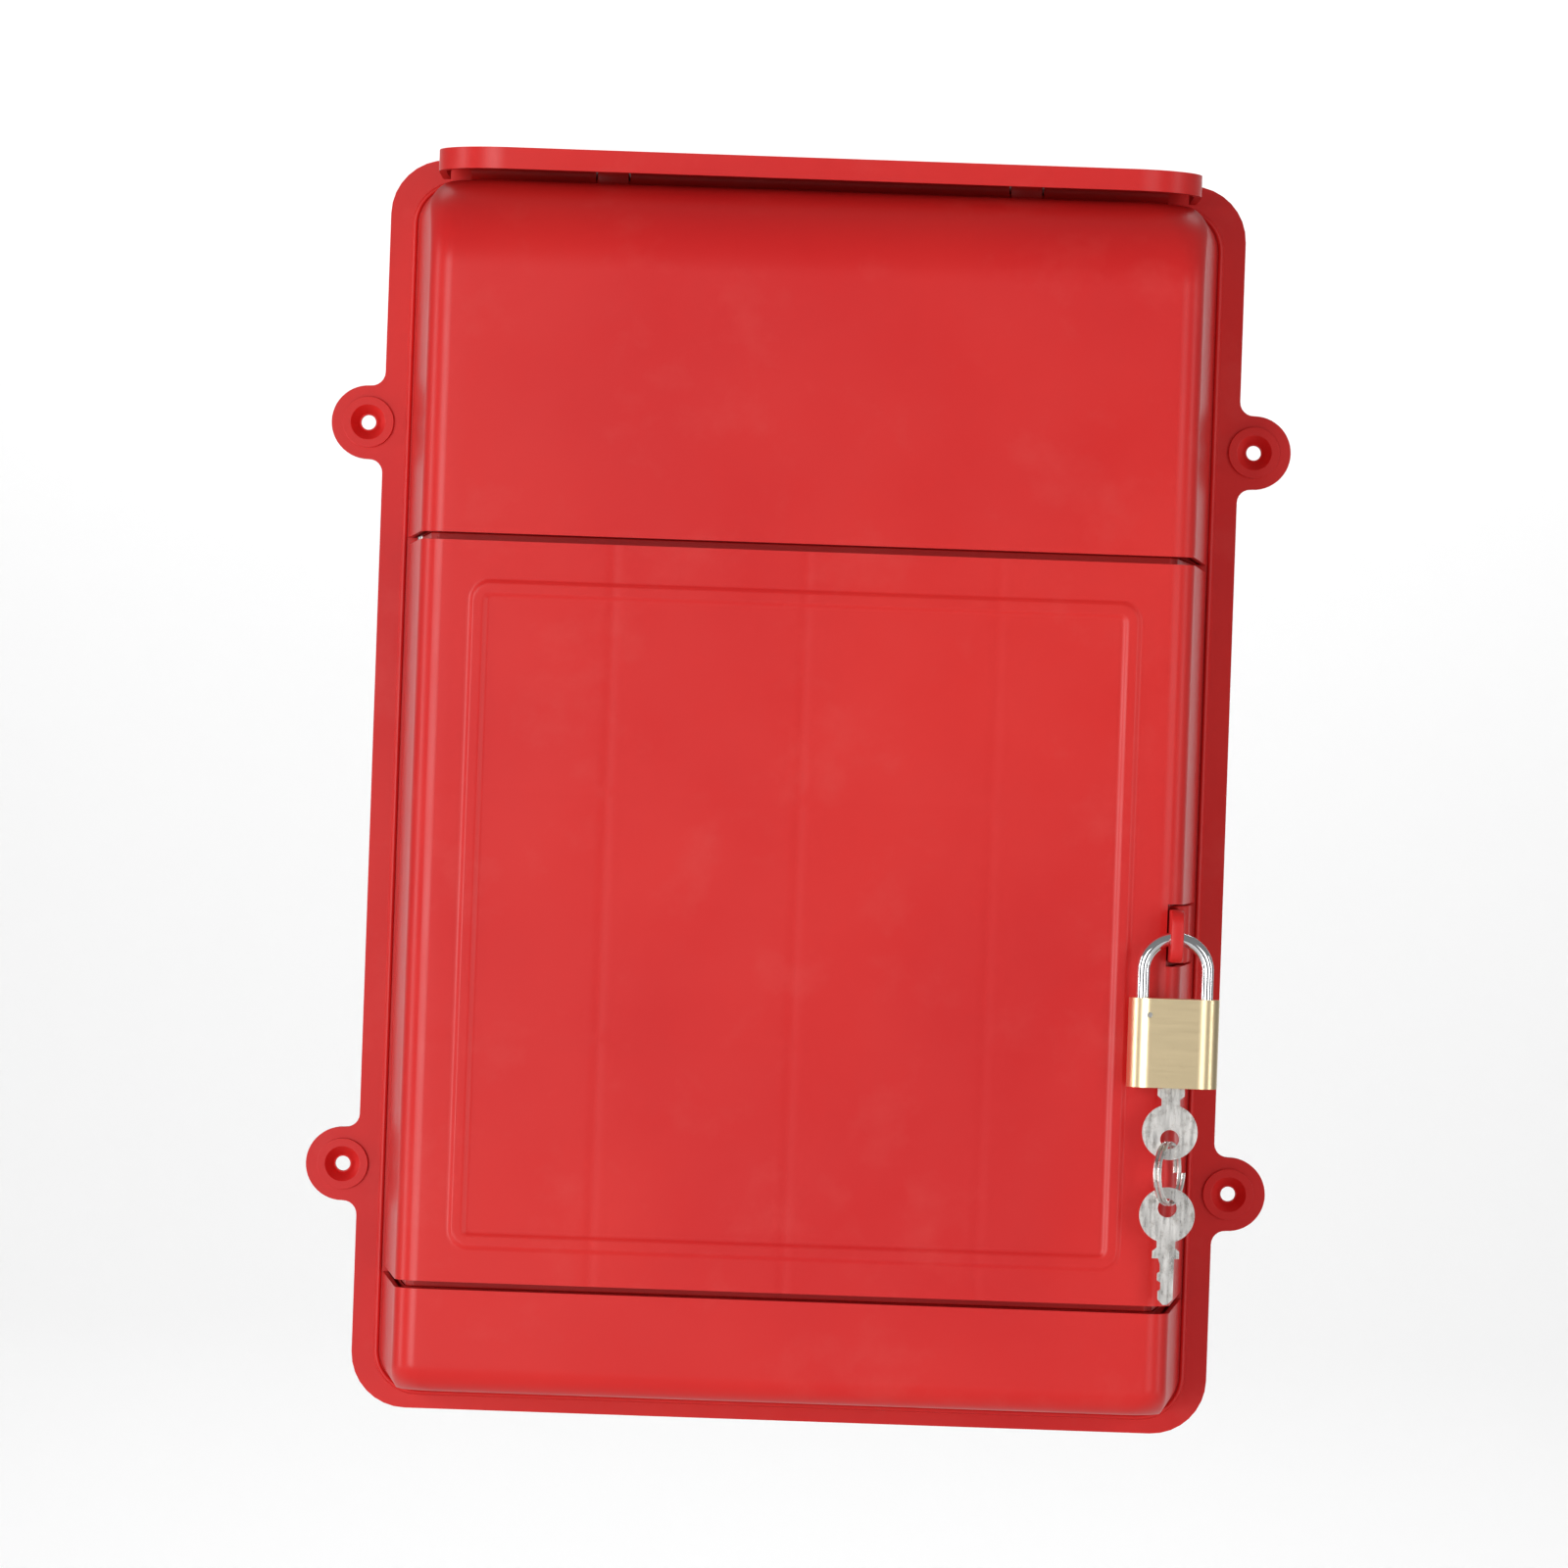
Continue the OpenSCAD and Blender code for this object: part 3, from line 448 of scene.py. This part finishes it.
# the inner frame that the door closes over, and the plates that join it to hood and base
innerFrame = {
    "outline": [(-107.03, -4.0), (-107.03, -20.0), (-111.44, -20.0), (-106.72, -66.5),
                (-104.72, -68.5), (-95.0, -68.5), (90.92, -68.5), (102.92, -68.5),
                (104.92, -66.5), (113.0, -4.0)],
    "openLow": -124.9, "openHigh": 60.8, "edge": 0.4,
}


def frameSheet(settings):
    # the plan outline carried up in rows, with the opening left out of its front
    plan = np.array(settings["outline"])
    rows = np.array([body["baseFrom"], settings["openLow"], -60.0, 0.0,
                     settings["openHigh"], body["hoodFrom"]])
    flat = np.broadcast_to(plan, (len(rows), len(plan), 2))
    height = np.broadcast_to(rows[:, None, None], (len(rows), len(plan), 1))
    points = np.concatenate([flat, height], axis=-1)
    keep = np.ones((len(rows) - 1, len(plan) - 1), bool)
    keep[1:4, 5] = False
    return walledSheet("innerFrame", points, keep, body["wall"], settings["edge"], "box", "front_shell")


def evenly(path, count):
    # points spread evenly along an open path, by its length
    length = np.concatenate([[0], np.cumsum(np.linalg.norm(np.diff(path, axis=0), axis=1))])
    even = np.linspace(0, length[-1], count)
    return np.column_stack([np.interp(even, length, path[:, k]) for k in range(2)])


def joiningPlate(name, z, thickness):
    # a flat strip ruled between the frame's plan and the body's plan, thickened
    outer = planGrid(np.array([z, z]), -body["depth"] + 1.2, body["edge"], (body["foot"], body["foot"]),
                     np.linspace(-1, 1, 21))[0, :, :2]
    outer[:, 0] -= np.sign(outer[:, 0]) * 1.2
    ruled = np.stack([evenly(np.array(innerFrame["outline"]), 70), evenly(outer, 70)])
    points = np.concatenate([ruled, np.full((2, 70, 1), z)], axis=-1)
    points = points if thickness > 0 else points[::-1]
    return walledSheet(name, points, np.ones((1, 69), bool), abs(thickness), 0.2, "box", "front_shell")


frameSheet(innerFrame)
joiningPlate("hoodFloor", body["hoodFrom"], body["wall"])
joiningPlate("baseRoof", body["baseFrom"], -body["wall"])
print("inner frame made")


staple = {"x": 107.3, "thick": 3.6, "tip": -92.5, "root": -44.0, "low": -39.45, "high": -24.65,
          "holeY": -86.5, "holeZ": -31.8, "holeR": 3.0, "round": 4.0}
lug = {"x": 60.0, "wide": 9.0, "y": -10.5, "z": 181.5, "r": 2.9, "pinR": 1.3}
bosses = [(-107.83, 125.9), (107.83, 125.9), (-107.83, -155.75), (107.83, -155.75),
          (0.0, -167.0), (0.0, 171.4)]


def stapleAndFiller(settings):
    k = settings
    flatPlate("staple", roundRect(k["tip"], k["low"], k["root"], k["high"], k["round"]),
              [circle(k["holeY"], k["holeZ"], k["holeR"])], k["thick"], 0.5,
              at(k["x"], 0, 0, onSide), "box", "front_shell")
    fill = [(105.5, -50.0), (halfAt(-50.0), -50.0), (halfAt(-7.0), -7.0), (105.5, -7.0)]
    flatPlate("slotFiller", fill, [], 16.4, 0.3, at(0, 0, -32.05, Matrix.Identity(4)), "box", "front_shell")


def lidLugs(settings):
    k = settings
    arch = np.linspace(0, math.pi, 17)
    outline = np.vstack([np.column_stack([k["y"] + k["r"] * np.cos(arch), k["z"] + k["r"] * np.sin(arch)]),
                         [(k["y"] - k["r"], body["top"] - 1.0), (k["y"] + k["r"], body["top"] - 1.0)]])
    for sign in (-1, 1):
        flatPlate("lidLug" + ("Left" if sign < 0 else "Right"), outline, [circle(k["y"], k["z"], k["pinR"])],
                  k["wide"], 0.3, at(sign * k["x"], 0, 0, onSide), "box", "front_shell")


def screwBosses(places):
    for number, (x, z) in enumerate(places):
        flatPlate(f"screwBoss{number + 1}", circle(0, 0, 3.2), [circle(0, 0, 1.5)], 20.0, 0.2,
                  at(x, -14.0, z, onFront), "box", "front_shell")


stapleAndFiller(staple)
lidLugs(lug)
screwBosses(bosses)
print("staple, lugs and bosses made")


door = {
    "low": -136.7, "high": 72.6, "wall": 2.4, "edge": 0.5,
    "hingeX": -111.43, "hingeY": -15.0, "barrel": 3.6, "pinBore": 1.6,
    "beadHalf": 94.8, "beadLow": -127.4, "beadHigh": 61.7,
    "beadWide": 4.8, "beadHeight": 0.5, "beadRound": 6.0,
    "slotX": 105.0, "slotLow": -40.85, "slotHigh": -23.25,
    "ribColumns": (-54.5, 0.0, 54.5), "ribRows": (-66.67, 2.57), "ribDepth": 5.0, "ribThick": 1.6,
    "sink": 0.07, "sinkWidth": 1.5,
}


def beadHeight(x, z, settings):
    # distance to a rounded rectangle, turned into a low flat band with eased flanks
    k = settings
    cz = (k["beadLow"] + k["beadHigh"]) / 2
    halfZ = (k["beadHigh"] - k["beadLow"]) / 2
    qx = np.abs(x) - (k["beadHalf"] - k["beadRound"])
    qz = np.abs(z - cz) - (halfZ - k["beadRound"])
    beyond = np.hypot(np.maximum(qx, 0), np.maximum(qz, 0))
    outside = beyond + np.minimum(np.maximum(qx, qz), 0) - k["beadRound"]
    rise = np.clip((k["beadWide"] / 2 - np.abs(outside + k["beadWide"] / 2)) / 0.9, 0, 1)
    return k["beadHeight"] * rise * rise * (3 - 2 * rise)


def sinkDepth(x, z, settings):
    # a shallow bell-shaped hollow over each rib behind the skin
    k = settings
    hollow = sum(np.exp(-((x - c) / k["sinkWidth"]) ** 2) for c in k["ribColumns"])
    hollow = np.maximum(hollow, sum(np.exp(-((z - c) / k["sinkWidth"]) ** 2) for c in k["ribRows"]))
    return k["sink"] * hollow


def doorColumns(settings, half):
    # finer columns at the bead and over the ribs
    k = settings
    fine = [np.arange(-3.0, 3.01, 0.75) + c for c in k["ribColumns"]]
    fine += [s * np.arange(k["beadHalf"] - 8.0, k["beadHalf"] + 1.8, 0.6) for s in (-1, 1)]
    x = np.unique(np.round(np.concatenate(fine + [np.arange(-half, half + 0.1, half / 34)]), 3))
    return x[np.concatenate([[True], np.diff(x) > 0.25])] / half


def doorSkin(settings):
    # the body's plan curve carried up in rows, pushed out at the bead and in over the ribs
    k = settings
    fine = [np.arange(-3.0, 3.01, 0.75) + c for c in k["ribRows"]]
    fine.append(np.arange(k["beadLow"] - 1.6, k["beadLow"] + 8.0, 0.6))
    fine.append(np.arange(k["beadHigh"] - 8.0, k["beadHigh"] + 1.8, 0.6))
    z = np.unique(np.round(np.concatenate(fine + [np.linspace(k["low"], k["high"], 60)]), 3))
    z = z[np.concatenate([[True], np.diff(z) > 0.25])]
    for level in (k["slotLow"], k["slotHigh"]):
        z[np.argmin(np.abs(z - level))] = level
    z[-1] = k["high"]
    lean = math.atan(slope)
    half = halfAt(-body["depth"]) + body["edge"] * slope - body["edge"] * math.hypot(1, slope)
    cut = math.acos((k["slotX"] - half) / body["edge"])
    angles = np.sort(np.concatenate([np.linspace(lean, math.pi / 2, 11)[1:-1], [cut]]))
    angles = np.array([a for a in angles if a == cut or abs(a - cut) > 0.05])
    rear = (k["hingeY"], -7.0)
    points = planGrid(z, -body["depth"], body["edge"], rear, doorColumns(k, half), 14, angles)
    flat = np.abs(points[..., 1] + body["depth"]) < 1e-6
    x, zz = points[..., 0], points[..., 2]
    easing = np.clip((half - np.abs(x)) / 6.0, 0, 1)
    points[..., 1] -= np.where(flat, beadHeight(x, zz, k) - sinkDepth(x, zz, k) * easing, 0)
    middle = (points[:-1, :-1] + points[1:, 1:]) / 2
    level = (middle[..., 2] > k["slotLow"]) & (middle[..., 2] < k["slotHigh"])
    keep = ~((middle[..., 0] > k["slotX"]) & level)
    return walledSheet("doorSkin", points, keep, k["wall"], k["edge"], "door", "door")


def doorBarrel(settings):
    k = settings
    outer = circle(k["hingeX"], k["hingeY"], k["barrel"] - 0.02, 40)
    bore = circle(k["hingeX"], k["hingeY"], k["pinBore"], 24)
    middle = at(0, 0, (k["high"] + k["low"]) / 2, Matrix.Identity(4))
    flatPlate("doorBarrel", outer, [bore], k["high"] - k["low"], 0.4, middle, "door", "door")


def doorRibs(settings):
    # each rib is a thin plate that stands on the skin's inner face
    k = settings
    inner = -body["depth"] + k["wall"] - 0.3
    deep = k["ribDepth"] + 0.3
    tall = k["high"] - k["low"]
    for number, x in enumerate(k["ribColumns"]):
        flatPlate(f"doorRibUpright{number + 1}", [(0, 0), (deep, 0), (deep, tall - 1), (0, tall - 1)], [],
                  k["ribThick"], 0.25, at(x, inner, k["low"] + 0.5, onSide), "door", "door")
    levels = (k["low"] + 0.8,) + k["ribRows"] + (k["high"] - 0.8,)
    strip = [(-105.5, inner), (102.8, inner), (101.0, inner + deep), (-104.0, inner + deep)]
    for number, z in enumerate(levels):
        flatPlate(f"doorRibLevel{number + 1}", strip, [],
                  k["ribThick"], 0.25, at(0, 0, z, Matrix.Identity(4)), "door", "door")


doorSkin(door)
doorBarrel(door)
doorRibs(door)
print("door made")


# the bead on the panel round the body's foot
footBead = {"gap": 1.1, "radius": 0.75, "around": 12}


def footBeadRing(settings):
    # a small circle carried round the body's outline, half sunk in the panel
    k = settings
    g = k["gap"]
    half = body["footHalf"] + g
    path = roundRect(-half, body["bottom"] - g, half, body["top"] + g, body["outline"] + g, 12)
    ahead = np.roll(path, -1, axis=0) - np.roll(path, 1, axis=0)
    ahead /= np.linalg.norm(ahead, axis=1)[:, None]
    out = np.column_stack([ahead[:, 1], -ahead[:, 0]])
    a = np.linspace(0, 2 * math.pi, k["around"], endpoint=False)
    ringXZ = path[:, None, :] + k["radius"] * np.cos(a)[None, :, None] * out[:, None, :]
    y = body["foot"] - 0.15 - k["radius"] * np.sin(a)
    points = np.stack([ringXZ[..., 0], np.broadcast_to(y, ringXZ.shape[:2]), ringXZ[..., 1]], axis=-1)
    n, m = len(path), k["around"]
    i, j = np.meshgrid(np.arange(n), np.arange(m), indexing="ij")
    nextI, nextJ = (i + 1) % n, (j + 1) % m
    faces = np.stack([i * m + j, nextI * m + j, nextI * m + nextJ, i * m + nextJ], axis=-1)
    return meshPiece("footBead", points, faces, "box", "back_panel")


footBeadRing(footBead)
print("foot bead made")


edges = {"top_lid": 0.8, "back_panel": 0.9}   # edge radius


def softenedMoulding(node, radius):
    # the CAD shape with its doubles merged and flat areas joined, then every sharp edge rounded
    mesh = nodes[node].data.copy()
    mesh.name = node + "Moulded"
    shape = bmesh.new()
    shape.from_mesh(mesh)
    bmesh.ops.remove_doubles(shape, verts=shape.verts, dist=0.000002)
    bmesh.ops.dissolve_limit(shape, angle_limit=math.radians(0.4), verts=shape.verts, edges=shape.edges)
    for face in shape.faces:
        face.smooth = True
    shape.to_mesh(mesh)
    shape.free()
    obj = bpy.data.objects.new(node + "Moulded", mesh)
    bpy.context.scene.collection.objects.link(obj)
    roundEdges(obj, radius, 3, 32)
    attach(obj, nodes[node]["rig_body"])
    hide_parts(node)
    return obj


for node, radius in edges.items():
    softenedMoulding(node, radius)
print("panel and lid softened")


# floor, light and camera, in metres
setting = {
    "wallColor": (0.96, 0.96, 0.96),
    "wallPlace": 3.2,           # far enough back for a camera behind the box
    "wallTop": 0.6, "floorLevel": -0.62, "bendRadius": 0.25,
    "floorReach": 3.2, "halfWidth": 3.0,
    "worldStrength": 0.22,
    "cameraFrom": (-0.0044, -2.35, 0.0069),
    "roll": 2.0,                # degrees that the box hangs off true
    "lens": 185.0,
}


def sweptBackdrop(settings):
    # floor and wall as one sheet: y and z run along a line, a quarter circle, and a line; x is straight
    wall, floor, radius = settings["wallPlace"], settings["floorLevel"], settings["bendRadius"]
    turn = np.linspace(0.0, math.pi / 2, 24)
    y = np.concatenate([[-settings["floorReach"]], wall - radius + radius * np.sin(turn), [wall]])
    z = np.concatenate([[floor], floor + radius - radius * np.cos(turn), [settings["wallTop"]]])
    across = np.array([-settings["halfWidth"], settings["halfWidth"]])
    grid = np.stack(np.broadcast_arrays(across[:, None], y[None, :], z[None, :]), axis=-1).reshape(-1, 3)
    n = len(y)
    k = np.arange(n - 1)
    faces = np.stack([k, k + n, k + n + 1, k + 1], axis=1)
    mesh = bpy.data.meshes.new("backdrop")
    mesh.from_pydata(grid.tolist(), [], faces.tolist())
    for poly in mesh.polygons:
        poly.use_smooth = True
    obj = bpy.data.objects.new("backdrop", mesh)
    bpy.context.scene.collection.objects.link(obj)
    mat, tree, shader, coords = newMaterial("palePaper", settings["wallColor"], 0.9, specular=0.1)
    tone = mixColors(tree, noise(tree, coords, 3.0), settings["wallColor"], (0.94, 0.94, 0.94))
    tree.links.new(tone, shader.inputs["Base Color"])
    mesh.materials.append(mat)
    return obj


def softBox(name, place, aim, size, energy):
    light = bpy.data.lights.new(name, "AREA")
    light.shape = "RECTANGLE"
    light.size, light.size_y = size
    light.energy = energy
    obj = bpy.data.objects.new(name, light)
    obj.location = place
    obj.rotation_euler = (Vector(aim) - Vector(place)).to_track_quat("-Z", "Y").to_euler()
    bpy.context.scene.collection.objects.link(obj)


sweptBackdrop(setting)
softBox("frontLeft", (-1.1, -2.3, -0.05), (0, 0, 0), (1.0, 1.5), 33)
softBox("frontRight", (1.3, -2.2, 0.1), (0, 0, 0), (0.9, 1.4), 11)
softBox("leftStrip", (-1.9, -0.35, 0.0), (0, -0.05, 0), (0.22, 1.5), 9)
softBox("rightStrip", (1.9, -0.45, 0.0), (0, -0.05, 0), (0.16, 1.5), 5)
softBox("paperLight", (0.0, 2.0, 1.9), (0, 3.2, 0), (2.4, 0.6), 45)

world = bpy.data.worlds.new("studio")
world.use_nodes = True
world.node_tree.nodes["Background"].inputs["Color"].default_value = (1, 1, 1, 1)
world.node_tree.nodes["Background"].inputs["Strength"].default_value = setting["worldStrength"]
bpy.context.scene.world = world

camera = bpy.data.cameras.new("camera")
camera.lens = setting["lens"]
camera.sensor_width = 36.0
camera.clip_end = 20.0
cameraObject = bpy.data.objects.new("camera", camera)
bpy.context.scene.collection.objects.link(cameraObject)
facing = Matrix.Rotation(math.radians(90), 4, "X") @ Matrix.Rotation(math.radians(setting["roll"]), 4, "Z")
cameraObject.matrix_world = Matrix.Translation(Vector(setting["cameraFrom"])) @ facing
bpy.context.scene.camera = cameraObject
bpy.context.scene.view_settings.view_transform = "Standard"
print("light and camera ready")

bpy.context.view_layer.update()
